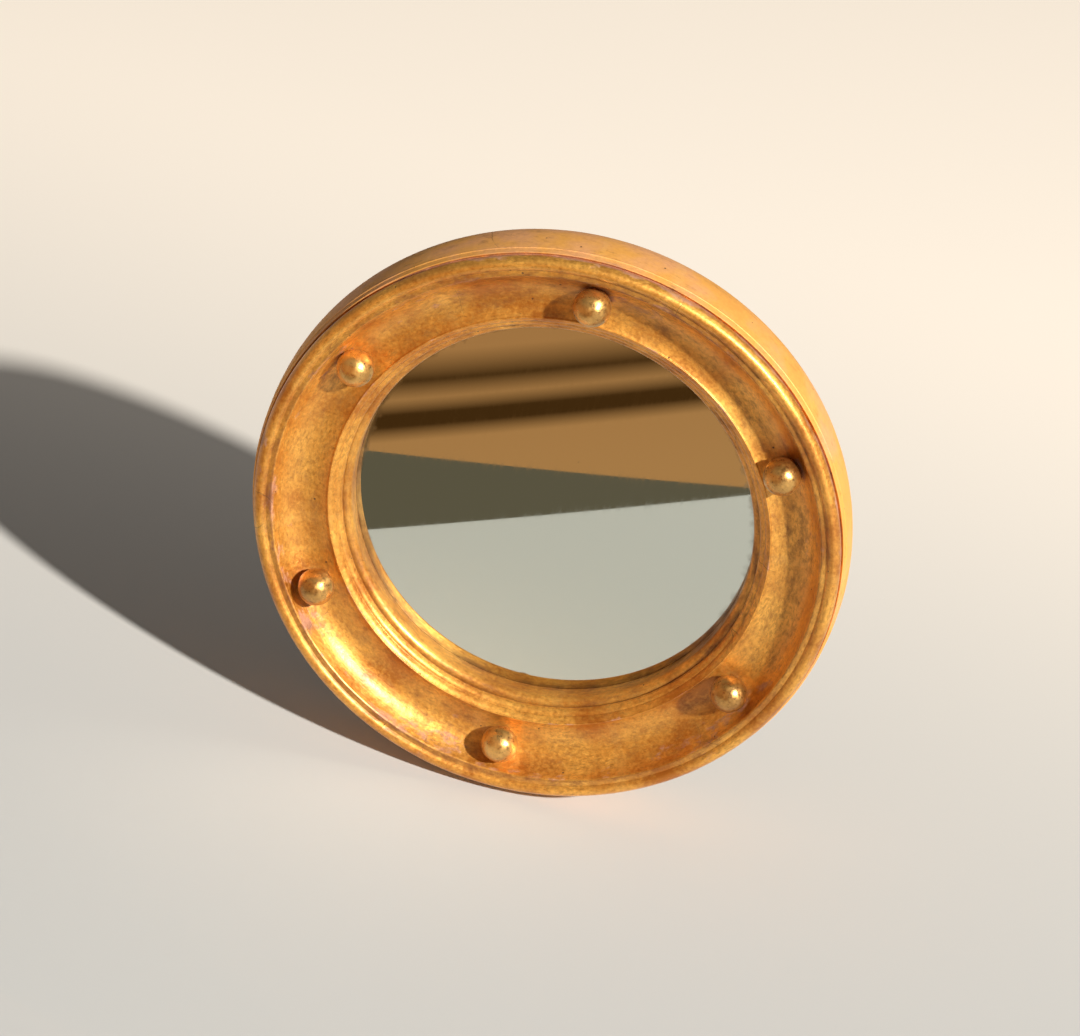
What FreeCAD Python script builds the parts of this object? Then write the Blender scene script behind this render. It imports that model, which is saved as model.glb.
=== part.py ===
import FreeCAD, Part
import math
import os

# Convex butlers mirror: a turned and gilded ring, with six balls in its cove, round a gently bulged glass.
# Millimetres. The mirror hangs on a wall in the plane Y = 0 and looks along -Y, with Z up.
# Radii are from the mirror's axis. Depths are from the plane of the rim's crest, towards the wall.
# Heights of the pieces in the rebate are from the wall.

# the turned ring: its side
frame_depth = 42.0
wall_radius = 128.2
wall_edge_depth = 5.2
wall_edge_inset = 2.05
wall_foot_inset = 7.18
back_chamfer = 0.8

# the front of the ring, from the side inwards
quirk_inset = 3.3
quirk_depth = 6.4
rim_inset = 5.7
rim_bead = 3.1
rim_bead_turn = 20.0
step_width = 4.9
step_depth = 1.6
step_drop = 0.6
cove_outer_width = 15.6
cove_inner_width = 7.0
cove_floor_depth = 13.4
arris_rise = 2.0
arris_round = 0.5
lip_width = 5.0
lip_break_across = 0.52
lip_break_down = 0.55
lip_shoulder_swell = 0.35
lip_nose_swell = 0.55

# the rebates behind the lip, from the wall forwards
board_recess = 6.5
board_thickness = 2.0
board_edge_gap = 0.5
board_ledge = 5.5
packing_height = 4.5
slip_height = 10.4
lip_land = 1.4
rebate_width = 2.5

# the glass
glass_curve = 4000.0
glass_thickness = 2.0
glass_edge_gap = 0.7
glass_gap = 0.2

# the slip between the lip and the glass
slip_show = 3.3
slip_fit = 0.3
slip_joint_gap = 0.2
slip_swell = 1.0
slip_tuck = 0.3
slip_foot = 6.7

# the blocks behind the glass
block_count = 6
block_width = 8.5
block_angle = 15.0
block_gap = 0.2
block_first_angle = 30.0

# the balls
ball_count = 6
ball_offset = 3.6
ball_radius = 8.0
ball_sink = 0.5
foot_radius = 4.6
foot_flare = 6.0
foot_height = 3.4
ball_seat_gap = 0.05
spigot_radius = 3.0
spigot_length = 9.0
spigot_clearance = 0.1
spigot_hole_spare = 1.0

# the backboard's pins
pin_count = 8
pin_radius = 0.65
pin_length = 12.0
pin_head_radius = 1.5
pin_head_height = 0.6
pin_clearance = 0.05
pin_first_angle = 22.5

# the hanger in its pocket
pivot_offset = 2.5
pocket_depth = 6.0
pocket_side_gap = 1.5
pocket_end_gap = 2.5
plate_width = 36.0
plate_height = 10.0
plate_thickness = 1.2
plate_corner = 2.5
knuckle_width = 8.0
knuckle_wall = 1.3
ring_wire_radius = 1.1
ring_clearance = 0.1
ring_half_width = 8.0
ring_corner = 2.0
screw_inset = 4.5
screw_radius = 1.25
screw_length = 12.0
screw_tip = 2.5
screw_point_radius = 0.25
screw_head_radius = 2.6
screw_head_height = 1.4
screw_clearance = 0.2
screw_slot = 0.6
screw_slot_depth = 0.6

# what follows from these
wall_depth = frame_depth / 2
quirk_radius = wall_radius - quirk_inset
rim_radius = wall_radius - rim_inset
step_inner_radius = rim_radius - step_width
cove_floor_radius = step_inner_radius - cove_outer_width
arris_radius = cove_floor_radius - cove_inner_width
arris_depth = cove_floor_depth - arris_rise
lip_radius = arris_radius - lip_width
rebate_radius = lip_radius + rebate_width
board_rebate_radius = rebate_radius + board_ledge
board_seat_depth = frame_depth - board_recess - board_thickness
sight_radius = lip_radius - slip_show
sight_depth = board_seat_depth - packing_height
shoulder_depth = sight_depth - slip_height
lip_depth = shoulder_depth - lip_land
ball_ring_radius = cove_floor_radius + ball_offset
pivot_height = board_rebate_radius + pivot_offset
screw_height = pivot_height + plate_height / 2
ring_drop = ring_half_width + ring_corner

front = FreeCAD.Vector(0, -1, 0)
mirror_axis = FreeCAD.Vector(0, 1, 0)
across = FreeCAD.Vector(1, 0, 0)
centre = FreeCAD.Vector(0, 0, 0)
straight = 1e-6


def at(radius, depth):
    """A point of the half section, which lies in the plane Z = 0."""
    return FreeCAD.Vector(radius, depth - frame_depth, 0)


def line(a, b):
    return Part.LineSegment(at(*a), at(*b)).toShape()


def arc(a, middle, b):
    return Part.Arc(at(*a), at(*middle), at(*b)).toShape()


def on_circle(middle_radius, middle_depth, size, degrees):
    """Radius and depth of a point of a circle. 0 degrees points outward, 90 towards the wall."""
    turn = math.radians(degrees)
    return middle_radius + size * math.cos(turn), middle_depth + size * math.sin(turn)


def swelled(a, b, swell):
    """An arc from a in to b, nearer the axis, that swells out of the wood by this much over its chord."""
    run = b[0] - a[0]
    fall = b[1] - a[1]
    chord = math.hypot(run, fall)
    middle = ((a[0] + b[0]) / 2 - swell * fall / chord, (a[1] + b[1]) / 2 + swell * run / chord)
    return arc(a, middle, b)


def turned(edges, degrees=360.0, first=0.0):
    """A solid turned about the mirror's axis, from the edges of its half section in order."""
    face = Part.Face(Part.Wire(edges))
    face.rotate(centre, front, first)
    return face.revolve(centre, front, degrees)


def spun_copies(shape, count, first):
    return [shape.rotated(centre, front, first + 360.0 * k / count) for k in range(count)]


def glass_depth(radius, behind=0.0):
    """Depth of the glass's front face at a radius, or of a surface a distance behind it."""
    middle_depth = sight_depth + math.sqrt(glass_curve ** 2 - sight_radius ** 2)
    return middle_depth - math.sqrt((glass_curve - behind) ** 2 - radius ** 2)


def glass_arc(inner, outer, behind):
    """An arc that runs with the glass's faces, from one radius to another."""
    middle = (inner + outer) / 2
    ends = [(radius, glass_depth(radius, behind)) for radius in (inner, middle, outer)]
    return arc(*ends)


def rise_curve(run, rise):
    """Radius of the arc that leaves a floor level and climbs by rise over run."""
    return (run ** 2 + rise ** 2) / (2 * rise)


def cove_depth(radius):
    """Depth of the cove's outer half at a radius."""
    top_radius = step_inner_radius - step_drop
    run = top_radius - cove_floor_radius
    curve = rise_curve(run, cove_floor_depth - step_depth - step_drop)
    return cove_floor_depth - curve + math.sqrt(curve ** 2 - (radius - cove_floor_radius) ** 2)


def wall_edges():
    """The side, from the back face to the edge beside the rim, and that face's outer point."""
    back_rise = frame_depth - back_chamfer - wall_depth
    back_curve = rise_curve(back_rise, wall_foot_inset)
    back_turn = math.degrees(math.asin(back_rise / back_curve))
    back_middle = (wall_radius - back_curve, wall_depth, back_curve)
    front_rise = wall_depth - wall_edge_depth
    front_curve = rise_curve(front_rise, wall_edge_inset)
    front_turn = -math.degrees(math.asin(front_rise / front_curve))
    front_middle = (wall_radius - front_curve, wall_depth, front_curve)
    low = on_circle(*back_middle, back_turn)
    widest = (wall_radius, wall_depth)
    edge = on_circle(*front_middle, front_turn)
    foot = (low[0] - back_chamfer, frame_depth)
    edges = [line(foot, low),
             arc(low, on_circle(*back_middle, back_turn / 2), widest),
             arc(widest, on_circle(*front_middle, front_turn / 2), edge)]
    return edges, foot, edge


def rim_edges(edge):
    """The quirk, the rim bead and the small step inside it."""
    quirk = (quirk_radius, quirk_depth)
    bead = (rim_radius, rim_bead, rim_bead)
    inner_turn = 180 + math.degrees(math.asin((rim_bead - step_depth) / rim_bead))
    bead_outer = on_circle(*bead, rim_bead_turn)
    bead_inner = on_circle(*bead, inner_turn)
    crest = (rim_radius, 0.0)
    step = (step_inner_radius, step_depth)
    top = (step_inner_radius - step_drop, step_depth + step_drop)
    edges = [line(edge, quirk),
             line(quirk, bead_outer),
             arc(bead_outer, crest, bead_inner),
             line(bead_inner, step),
             line(step, top)]
    return edges, top


def cove_edges(top):
    """The cove, the arris and the lip down to its nose."""
    floor = (cove_floor_radius, cove_floor_depth)
    middle_radius = (top[0] + floor[0]) / 2
    outer_foot = (arris_radius + arris_round, arris_depth + arris_round)
    inner_foot = (arris_radius - arris_round, arris_depth + arris_round)
    run = floor[0] - outer_foot[0]
    curve = rise_curve(run, floor[1] - outer_foot[1])
    half_way = (floor[0] - run / 2, floor[1] - curve + math.sqrt(curve ** 2 - (run / 2) ** 2))
    nose = (lip_radius, lip_depth)
    break_line = (arris_radius - lip_break_across * lip_width,
                  arris_depth + lip_break_down * (lip_depth - arris_depth))
    edges = [arc(top, (middle_radius, cove_depth(middle_radius)), floor),
             arc(floor, half_way, outer_foot),
             arc(outer_foot, (arris_radius, arris_depth), inner_foot),
             swelled(inner_foot, break_line, lip_shoulder_swell),
             swelled(break_line, nose, lip_nose_swell)]
    return edges, nose


def rebate_edges(nose, foot):
    """The way back to the wall, inside the ring."""
    points = [nose,
              (lip_radius, shoulder_depth),
              (rebate_radius, shoulder_depth),
              (rebate_radius, board_seat_depth),
              (board_rebate_radius, board_seat_depth),
              (board_rebate_radius, frame_depth),
              foot]
    return [line(a, b) for a, b in zip(points, points[1:])]


def ring_blank():
    side, foot, edge = wall_edges()
    rim, top = rim_edges(edge)
    cove, nose = cove_edges(top)
    return turned(side + rim + cove + rebate_edges(nose, foot))


def ball_place():
    """The first ball's centre, at the top of the mirror, as a height and a depth."""
    return ball_ring_radius, cove_depth(ball_ring_radius) - ball_radius + ball_sink


def spigot_holes():
    height, depth = ball_place()
    hole_depth = cove_depth(ball_ring_radius) + spigot_length + spigot_hole_spare
    start = FreeCAD.Vector(0, depth - frame_depth, height)
    hole = Part.makeCylinder(spigot_radius + spigot_clearance, hole_depth - depth, start, mirror_axis)
    return spun_copies(hole, ball_count, 0.0)


def pin_positions():
    radius = (rebate_radius + board_rebate_radius) / 2
    turns = [math.radians(pin_first_angle + 360.0 * k / pin_count) for k in range(pin_count)]
    return [(radius * math.sin(turn), radius * math.cos(turn)) for turn in turns]


def pin_shank(x, z, radius):
    seat = board_seat_depth + board_thickness - frame_depth
    return Part.makeCylinder(radius, pin_length, FreeCAD.Vector(x, seat, z), front)


def screw_positions():
    side = plate_width / 2 - screw_inset
    return [(-side, screw_height), (side, screw_height)]


def screw_shank(x, z, radius):
    """A wood screw's shank and its tapered point, or the hole for them."""
    seat = plate_thickness - pocket_depth
    body = screw_length - screw_tip
    shank = Part.makeCylinder(radius, body, FreeCAD.Vector(x, seat, z), front)
    point = Part.makeCone(radius, screw_point_radius, screw_tip, FreeCAD.Vector(x, seat - body, z), front)
    return shank.fuse(point)


def hanger_pocket():
    """The pocket at the top of the back, open to the backboard's rebate."""
    width = plate_width + 2 * pocket_side_gap
    top = pivot_height + plate_height + pocket_end_gap
    start = FreeCAD.Vector(-width / 2, -pocket_depth, rebate_radius)
    return Part.makeBox(width, pocket_depth, top - rebate_radius, start)


def make_frame_ring():
    pins = [pin_shank(x, z, pin_radius + pin_clearance) for x, z in pin_positions()]
    screws = [screw_shank(x, z, screw_radius + pin_clearance) for x, z in screw_positions()]
    return ring_blank().cut(spigot_holes() + pins + screws + [hanger_pocket()])


def make_sight_slip():
    outer = rebate_radius - slip_fit
    top = shoulder_depth + slip_joint_gap
    bead_top = (lip_radius + slip_tuck, top)
    sight_back = glass_depth(sight_radius, -glass_gap)
    bead_foot = (sight_radius, sight_back - slip_foot)
    edges = [line((outer, top), bead_top),
             swelled(bead_top, bead_foot, slip_swell),
             line(bead_foot, (sight_radius, sight_back)),
             glass_arc(sight_radius, outer, -glass_gap),
             line((outer, glass_depth(outer, -glass_gap)), (outer, top))]
    return turned(edges)


def make_convex_glass():
    outer = rebate_radius - glass_edge_gap
    edges = [line((0, glass_depth(0, glass_thickness)), (0, glass_depth(0))),
             glass_arc(0, outer, 0.0),
             line((outer, glass_depth(outer)), (outer, glass_depth(outer, glass_thickness))),
             glass_arc(outer, 0, glass_thickness)]
    return turned(edges)


def make_glass_block(number):
    behind = glass_thickness + block_gap
    inner = rebate_radius - block_width
    outer = rebate_radius - block_gap
    back = board_seat_depth - block_gap
    edges = [glass_arc(inner, outer, behind),
             line((outer, glass_depth(outer, behind)), (outer, back)),
             line((outer, back), (inner, back)),
             line((inner, back), (inner, glass_depth(inner, behind)))]
    first = block_first_angle + 360.0 * number / block_count
    return turned(edges, block_angle, first - block_angle / 2)


def make_first_ball(blank):
    """The ball at the top, with a flared foot cut to the cove and a spigot for its hole."""
    height, depth = ball_place()
    middle = FreeCAD.Vector(0, depth - frame_depth, height)
    floor = cove_depth(ball_ring_radius)
    ball = Part.makeSphere(ball_radius, middle, mirror_axis)
    neck = FreeCAD.Vector(0, floor - foot_height - frame_depth, height)
    foot = Part.makeCone(foot_radius, foot_flare, foot_height + ball_sink, neck, mirror_axis)
    seat = blank.translated(front * ball_seat_gap)
    spigot = Part.makeCylinder(spigot_radius, floor + spigot_length - depth, middle, mirror_axis)
    return ball.fuse(foot).cut(seat).fuse(spigot).removeSplitter()


def make_backboard():
    start = FreeCAD.Vector(0, board_seat_depth - frame_depth, 0)
    board = Part.makeCylinder(board_rebate_radius - board_edge_gap, board_thickness, start, mirror_axis)
    return board.cut([pin_shank(x, z, pin_radius + pin_clearance) for x, z in pin_positions()])


def make_backboard_pins():
    seat = board_seat_depth + board_thickness - frame_depth
    pins = []
    for x, z in pin_positions():
        start = FreeCAD.Vector(x, seat, z)
        head = Part.makeCylinder(pin_head_radius, pin_head_height, start, mirror_axis)
        pins.append(head.fuse(pin_shank(x, z, pin_radius)))
    return Part.makeCompound(pins)


def pivot_point():
    """The swing axis of the D-ring, over the pocket's floor."""
    rise = ring_wire_radius + ring_clearance + knuckle_wall
    return FreeCAD.Vector(0, rise - pocket_depth, pivot_height)


def make_hanger_plate():
    floor = -pocket_depth
    pivot = pivot_point()
    corner = FreeCAD.Vector(-plate_width / 2, floor, pivot_height)
    plate = Part.makeBox(plate_width, plate_thickness, plate_height, corner)
    corners = [edge for edge in plate.Edges
               if edge.tangentAt(edge.FirstParameter).cross(front).Length < straight]
    plate = plate.makeFillet(plate_corner, corners)
    half = across * (knuckle_width / 2)
    bore = ring_wire_radius + ring_clearance
    barrel = Part.makeCylinder(bore + knuckle_wall, knuckle_width, pivot - half, across)
    eye = Part.makeCylinder(bore, plate_width, pivot - across * (plate_width / 2), across)
    relief = bore + knuckle_wall
    gap_corner = FreeCAD.Vector(knuckle_width / 2, floor, pivot_height)
    gap_width = ring_half_width + ring_wire_radius + ring_clearance - knuckle_width / 2 + ring_clearance
    right = Part.makeBox(gap_width, plate_thickness, relief, gap_corner)
    left = right.mirror(centre, across)
    holes = [Part.makeCylinder(screw_radius + screw_clearance, plate_thickness,
                               FreeCAD.Vector(x, floor, z), mirror_axis)
             for x, z in screw_positions()]
    return plate.cut([right, left] + holes).fuse(barrel).cut(eye).removeSplitter()


def make_hanger_ring():
    """A D of round wire, hanging from the knuckle: a straight bar, two corners and half a circle."""
    pivot = pivot_point()
    side = ring_half_width
    bend = ring_corner
    slant = bend * math.sqrt(0.5)

    def point(x, drop):
        return pivot + FreeCAD.Vector(x, 0, -drop)

    path = Part.Wire([
        Part.LineSegment(point(bend - side, 0), point(side - bend, 0)).toShape(),
        Part.Arc(point(side - bend, 0), point(side - bend + slant, bend - slant), point(side, bend)).toShape(),
        Part.Arc(point(side, bend), point(0, ring_drop), point(-side, bend)).toShape(),
        Part.Arc(point(-side, bend), point(bend - side - slant, bend - slant), point(bend - side, 0)).toShape(),
    ])
    section = Part.Wire(Part.makeCircle(ring_wire_radius, pivot, across))
    return path.makePipeShell([section], True, True)


def make_hanger_screws():
    seat = plate_thickness - pocket_depth
    screws = []
    for x, z in screw_positions():
        start = FreeCAD.Vector(x, seat, z)
        dome_radius = rise_curve(screw_head_radius, screw_head_height)
        dome = Part.makeSphere(dome_radius, start + mirror_axis * (screw_head_height - dome_radius))
        head = dome.common(Part.makeCylinder(screw_head_radius, screw_head_height, start, mirror_axis))
        slot_corner = start + FreeCAD.Vector(-screw_head_radius, screw_head_height - screw_slot_depth,
                                             -screw_slot / 2)
        slot = Part.makeBox(2 * screw_head_radius, screw_slot_depth, screw_slot, slot_corner)
        screws.append(head.cut(slot).fuse(screw_shank(x, z, screw_radius)))
    return Part.makeCompound(screws)


def write(name, shape):
    shape.exportStep(os.path.join("parts", name + ".step"))


os.makedirs("parts", exist_ok=True)
blank = ring_blank()
first_ball = make_first_ball(blank)
write("frame_ring", make_frame_ring())
write("sight_slip", make_sight_slip())
write("convex_glass", make_convex_glass())
for number in range(block_count):
    write("glass_block_%d" % (number + 1), make_glass_block(number))
for number, ball in enumerate(spun_copies(first_ball, ball_count, 0.0)):
    write("ball_%d" % (number + 1), ball)
write("backboard", make_backboard())
write("backboard_pins", make_backboard_pins())
write("hanger_plate", make_hanger_plate())
write("hanger_ring", make_hanger_ring())
write("hanger_screws", make_hanger_screws())
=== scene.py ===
import bpy, bmesh, math
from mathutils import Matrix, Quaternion, Vector


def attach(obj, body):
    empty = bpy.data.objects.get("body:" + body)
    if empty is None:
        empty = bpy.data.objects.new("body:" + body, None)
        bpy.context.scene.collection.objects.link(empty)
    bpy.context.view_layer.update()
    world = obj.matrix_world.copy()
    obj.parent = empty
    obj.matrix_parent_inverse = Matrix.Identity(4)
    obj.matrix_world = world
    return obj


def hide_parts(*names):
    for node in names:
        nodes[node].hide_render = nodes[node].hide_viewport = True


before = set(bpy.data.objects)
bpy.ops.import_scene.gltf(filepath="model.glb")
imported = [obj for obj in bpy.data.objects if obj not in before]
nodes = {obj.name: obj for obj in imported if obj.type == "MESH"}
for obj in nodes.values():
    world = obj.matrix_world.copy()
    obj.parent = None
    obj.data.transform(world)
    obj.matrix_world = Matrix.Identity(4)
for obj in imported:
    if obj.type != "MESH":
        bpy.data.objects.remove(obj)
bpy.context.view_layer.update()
scene = bpy.context.scene

# Metres. The mirror looks along -Y and stands on its rim, with Z up.
# The half sections below are in millimetres: radius from the axis, and depth behind the rim's crest.
mm = 0.001
frameDepth = 42.0


def colour(text):
    # sRGB hex to linear
    parts = [int(text[k:k + 2], 16) / 255 for k in (1, 3, 5)]
    return [c / 12.92 if c <= 0.04045 else ((c + 0.055) / 1.055) ** 2.4 for c in parts] + [1.0]


def addNode(tree, kind, feeds=None, **settings):
    # feeds are input names or numbers, with a value or another node's output
    node = tree.nodes.new(kind)
    for name, value in settings.items():
        setattr(node, name, value)
    for name, value in (feeds or {}).items():
        if isinstance(value, bpy.types.NodeSocket):
            tree.links.new(value, node.inputs[name])
        else:
            node.inputs[name].default_value = value
    return node


def calc(tree, operation, *values):
    # one sum, and its result
    return addNode(tree, "ShaderNodeMath", dict(enumerate(values)), operation=operation).outputs[0]


def remap(tree, value, fromLow, fromHigh, toLow=0.0, toHigh=1.0):
    feeds = {0: value, 1: fromLow, 2: fromHigh, 3: toLow, 4: toHigh}
    return addNode(tree, "ShaderNodeMapRange", feeds).outputs[0]


def tinted(tree, share, first, second):
    return addNode(tree, "ShaderNodeMix", {0: share, 6: first, 7: second}, data_type="RGBA").outputs[2]


def cloudy(tree, place, size, detail, roughness=0.5):
    # noise with clouds of the given size in mm
    feeds = {"Vector": place, "Scale": 1000 / size, "Detail": detail, "Roughness": roughness}
    return addNode(tree, "ShaderNodeTexNoise", feeds).outputs[0]


def scaled(tree, place, scale):
    return addNode(tree, "ShaderNodeMapping", {"Vector": place, "Scale": scale}).outputs[0]


def bent(tree, place, share, wander, size, detail):
    # a place led astray a little by noise of the given size in mm
    feeds = {"Vector": wander, "Scale": 1000 / size, "Detail": detail}
    stray = addNode(tree, "ShaderNodeTexNoise", feeds).outputs["Color"]
    return addNode(tree, "ShaderNodeMix", {0: share, 4: place, 5: stray}, data_type="VECTOR").outputs[1]


def scattered(tree, place, cell, rare, largest, strength):
    # round spots, at most one to a cell, with both sizes in mm
    cells = addNode(tree, "ShaderNodeTexVoronoi", {"Vector": place, "Scale": 1000 / cell}).outputs
    chance = addNode(tree, "ShaderNodeSeparateColor", {0: cells["Color"]}).outputs[0]
    size = remap(tree, chance, rare, 1.0, 0.0, largest / cell)
    inside = calc(tree, "SUBTRACT", size, cells["Distance"])
    return remap(tree, inside, 0.0, 0.02, 0.0, strength)


def embossed(tree, heights):
    # bumps over each other: height, strength, and depth in mm, which is below 0 for a hollow
    normal = None
    for height, strength, depth in heights:
        feeds = {"Height": height, "Strength": strength, "Distance": abs(depth) * mm}
        if normal:
            feeds["Normal"] = normal
        normal = addNode(tree, "ShaderNodeBump", feeds, invert=depth < 0).outputs[0]
    return normal


def newMaterial(name):
    material = bpy.data.materials.new(name)
    material.use_nodes = True
    tree = material.node_tree
    return material, tree, tree.nodes["Principled BSDF"]


def feedShader(tree, shader, sources):
    for socket, value in sources.items():
        tree.links.new(value, shader.inputs[socket])


def newObject(name, mesh):
    thing = bpy.data.objects.new(name, mesh)
    scene.collection.objects.link(thing)
    return thing


def flatSheet(name, corners):
    mesh = bpy.data.meshes.new(name)
    mesh.from_pydata(corners, [], [list(range(len(corners)))])
    return newObject(name, mesh)


# camera, light and floor: the photograph's angle, from above and a little to the right

camera = {"place": (0.1176, -1.3377, 0.6795), "aim": (-0.0025, -0.042, 0.0092), "roll": 11.95, "lens": 116.7}
view = newObject("photoCamera", bpy.data.cameras.new("photoCamera"))
view.data.lens = camera["lens"]
view.data.sensor_width = 36.0
view.data.clip_start = 0.05
view.data.clip_end = 50.0
view.location = camera["place"]
look = (Vector(camera["aim"]) - Vector(camera["place"])).to_track_quat("-Z", "Y")
view.rotation_mode = "QUATERNION"
view.rotation_quaternion = look @ Quaternion((0, 0, 1), math.radians(camera["roll"]))
scene.camera = view
scene.view_settings.view_transform = "Standard"

studio = {
    "keyFrom": (0.63, -0.545, 0.553), "keyAway": 9.0, "keySize": 0.42, "keyPower": 1330,
    "keyColour": "#FFFCF6",
    "fillFrom": (-0.55, -0.75, 0.45), "fillAway": 2.4, "fillSize": 1.8, "fillPower": 1.0,
    "fillColour": "#FFFAF4",
    "worldColour": "#FBF4EA", "worldStrength": 0.10, "backdropColour": "#FBF0DF", "backdropStrength": 0.2,
    "floorColour": "#CACAC8", "floorFar": "#F3E8DA", "floorGlow": 0.2, "floorDrop": 0.1285,
    "floorReach": 5.0, "floorTurn": (-0.25, 0.7), "floorRough": 0.85,
}


def addLamp(name, part):
    lamp = newObject(name, bpy.data.lights.new(name, "AREA"))
    lamp.data.shape = "DISK"
    lamp.data.size = studio[part + "Size"]
    lamp.data.energy = studio[part + "Power"]
    lamp.data.color = colour(studio[part + "Colour"])[:3]
    lamp.location = Vector(studio[part + "From"]).normalized() * studio[part + "Away"]
    lamp.rotation_mode = "QUATERNION"
    lamp.rotation_quaternion = (-lamp.location).to_track_quat("-Z", "Y")


addLamp("windowLamp", "key")
addLamp("fillLamp", "fill")


def seenRays(tree):
    # 1 for what the camera sees, also by way of the glass and the gold
    rays = addNode(tree, "ShaderNodeLightPath").outputs
    seen = calc(tree, "ADD", rays["Is Camera Ray"], rays["Is Glossy Ray"])
    return calc(tree, "ADD", seen, rays["Is Transmission Ray"])


def makeRoom():
    # a pale backdrop where it is seen, and weaker light for the rest
    world = bpy.data.worlds.new("paleRoom")
    scene.world = world
    world.use_nodes = True
    tree = world.node_tree
    tree.nodes.clear()
    shades = []
    for part in ("world", "backdrop"):
        feeds = {"Color": colour(studio[part + "Colour"]), "Strength": studio[part + "Strength"]}
        shades.append(addNode(tree, "ShaderNodeBackground", feeds).outputs[0])
    mix = addNode(tree, "ShaderNodeMixShader", {0: seenRays(tree), 1: shades[0], 2: shades[1]})
    addNode(tree, "ShaderNodeOutputWorld", {0: mix.outputs[0]})


makeRoom()


def makeFloorPaint():
    # Pale matt paint: a grey table that turns cream behind the mirror and looks a little lighter there.
    paint, tree, shader = newMaterial("paleFloorPaint")
    place = addNode(tree, "ShaderNodeTexCoord").outputs["Object"]
    place = addNode(tree, "ShaderNodeSeparateXYZ", {0: place}).outputs
    near, far = studio["floorTurn"]
    behind = addNode(tree, "ShaderNodeMapRange", {0: place["Y"], 1: near, 2: far},
                     interpolation_type="SMOOTHSTEP").outputs[0]
    tint = tinted(tree, behind, colour(studio["floorColour"]), colour(studio["floorFar"]))
    glow = calc(tree, "MULTIPLY", behind, studio["floorGlow"])
    glow = calc(tree, "MULTIPLY", glow, seenRays(tree))
    shader.inputs["Roughness"].default_value = studio["floorRough"]
    feedShader(tree, shader, {"Base Color": tint, "Emission Color": tint, "Emission Strength": glow})
    return paint


floorLevel = -studio["floorDrop"]
floor = flatSheet("floor", [(x * studio["floorReach"], y * studio["floorReach"], floorLevel)
                            for x, y in ((-1, -1), (1, -1), (1, 1), (-1, 1))])
floor.data.materials.append(makeFloorPaint())

# a painted reflection: a glowing card of brown boards in front of the mirror, and its painted shadow on the
# floor, which only glass and gilding see

card = {
    "foot": -0.3245, "slant": -0.38, "left": -0.62, "right": 0.106, "height": 0.32, "rise": 0.245,
    "shadeLeft": -0.23, "shadeSlant": -0.845, "shade": "#5A5343", "glow": 1.4,
    "lowBoard": "#A87A4A", "highBoard": "#A07042", "boardTop": 150, "gapShadowColour": "#40280F",
    # the painted shadow in the gaps between the boards, in mm above the floor: start, darkest from and to,
    # end, and how dark
    "gaps": ((38, 48, 56, 67, 1.0), (64, 77, 78, 96, 0.95), (105, 121, 123, 156, 0.85)),
}


def boardReflectionTint(tree):
    # a painted reflection of boards that rise a little to one side, with soft painted shadow in the gaps
    # between them
    place = addNode(tree, "ShaderNodeTexCoord").outputs["Object"]
    place = addNode(tree, "ShaderNodeSeparateXYZ", {0: place}).outputs
    lean = calc(tree, "MULTIPLY_ADD", place["X"], -card["rise"], place["Z"])

    def between(low, high, toLow, toHigh):
        return remap(tree, lean, floorLevel + low * mm, floorLevel + high * mm, toLow, toHigh)

    up = between(0, card["boardTop"], 0.0, 1.0)
    boards = tinted(tree, up, colour(card["lowBoard"]), colour(card["highBoard"]))
    dark = 0.0
    for start, first, last, end, depth in card["gaps"]:
        gap = calc(tree, "MINIMUM", between(start, first, 0.0, depth), between(last, end, depth, 0.0))
        dark = calc(tree, "MAXIMUM", gap, dark)
    return tinted(tree, dark, boards, colour(card["gapShadowColour"]))


def addGlow(name, corners, tintOf):
    # a sheet that glows for glossy rays alone
    sheet = flatSheet(name, corners)
    paint = bpy.data.materials.new(name + "Paint")
    paint.use_nodes = True
    tree = paint.node_tree
    tree.nodes.clear()
    glow = addNode(tree, "ShaderNodeEmission", {"Color": tintOf(tree), "Strength": card["glow"]})
    addNode(tree, "ShaderNodeOutputMaterial", {0: glow.outputs[0]})
    sheet.data.materials.append(paint)
    for ray in ("camera", "diffuse", "shadow", "transmission"):
        setattr(sheet, "visible_" + ray, False)


def makeCard():
    def footAt(x):
        return card["foot"] + card["slant"] * x

    left, right, top = card["left"], card["right"], floorLevel + card["height"]
    # painted reflection: a glowing sheet of boards for the glass and the gilding to reflect
    addGlow("boardReflectionCard", [(left, footAt(left), floorLevel), (right, footAt(right), floorLevel),
                          (right, footAt(right), top), (left, footAt(left), top)], boardReflectionTint)
    # the shadow on the floor falls towards the mirror
    edge = card["shadeLeft"]
    spread = (edge - right) * card["shadeSlant"]
    level = floorLevel + mm
    addGlow("cardShadow", [(edge, footAt(edge), level), (right, footAt(right), level),
                           (edge, footAt(right) + spread, level)], lambda tree: colour(card["shade"]))


makeCard()
print("stage: camera, lamps and floor")


def arcTo(a, b, curve, step):
    # points after a up to b, swelling to the left of the way for a positive radius, straight for 0
    ax, ay = a
    bx, by = b
    chord = math.hypot(bx - ax, by - ay)
    count = max(1, round(chord / step))
    if not curve:
        return [(ax + (bx - ax) * k / count, ay + (by - ay) * k / count) for k in range(1, count + 1)]
    side = 1 if curve > 0 else -1
    back = math.sqrt(max(curve ** 2 - chord ** 2 / 4, 0.0)) * side
    cx = (ax + bx) / 2 + (by - ay) / chord * back
    cy = (ay + by) / 2 - (bx - ax) / chord * back
    start = math.atan2(ay - cy, ax - cx)
    turn = math.atan2(by - cy, bx - cx) - start
    turn = (turn + math.pi) % (2 * math.pi) - math.pi
    size = abs(curve)
    return [(cx + size * math.cos(start + turn * k / count), cy + size * math.sin(start + turn * k / count))
            for k in range(1, count + 1)]


def swellRadius(a, b, swell):
    half = math.dist(a, b) / 2
    return (half ** 2 + swell ** 2) / (2 * swell)


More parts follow.
